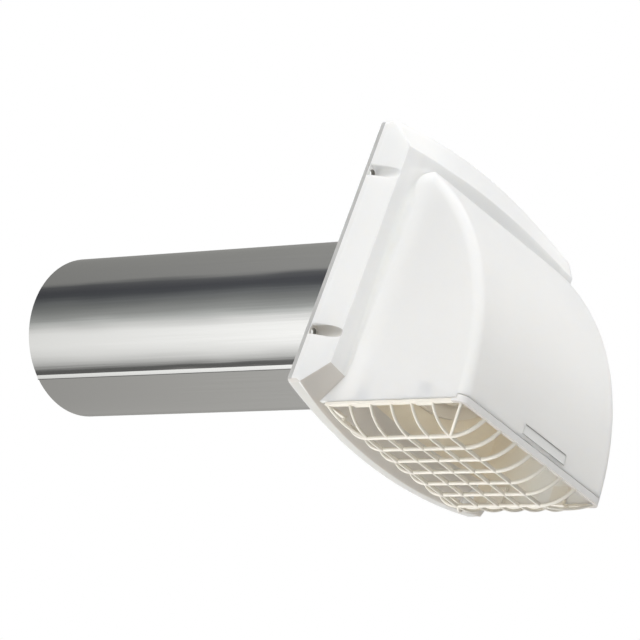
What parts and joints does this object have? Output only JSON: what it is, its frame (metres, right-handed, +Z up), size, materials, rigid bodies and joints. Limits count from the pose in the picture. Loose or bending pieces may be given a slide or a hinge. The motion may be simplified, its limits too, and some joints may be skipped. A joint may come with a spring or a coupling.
{
  "type": "wall exhaust hood",
  "caption": "Moulded wall exhaust hood with a bevelled flange, hinged damper flap, lift-out bird guard and a rolled aluminium tail pipe for a round duct.",
  "frame": {"origin": "on the duct axis, in the plane of the wall that the flange's rim rests on", "axes": "+Y along the duct into the wall, +Z up, +X to the right for someone who faces the wall from outside"},
  "size_m": [0.1734, 0.4271, 0.2038],
  "materials": {
    "hood_plastic": "satin",
    "damper_plastic": "satin",
    "guard_plastic": "satin",
    "pipe_aluminium": "mill",
    "rivet_aluminium": "satin",
    "zinc_steel": "zinc plated"
  },
  "bodies": {
    "hood": {"hood_shell": "hood_plastic", "duct_collar": "damper_plastic", "collar_screws": "zinc_steel", "tail_pipe": "pipe_aluminium", "pipe_rivets": "rivet_aluminium", "hinge_rod": "zinc_steel"},
    "flap": {"damper_flap": "damper_plastic"},
    "guard": {"bird_guard": "guard_plastic"}
  },
  "joints": [
    {"name": "flap_swing", "type": "hinge", "parent": "hood", "child": "flap", "pos_m": [0, -0.028, 0.05495], "axis": [-1, 0, 0], "range_deg": [0, 40]},
    {"name": "guard_release", "type": "slide", "parent": "hood", "child": "guard", "axis": [0, 0, -1], "range_m": [0, 0.06]}
  ]
}
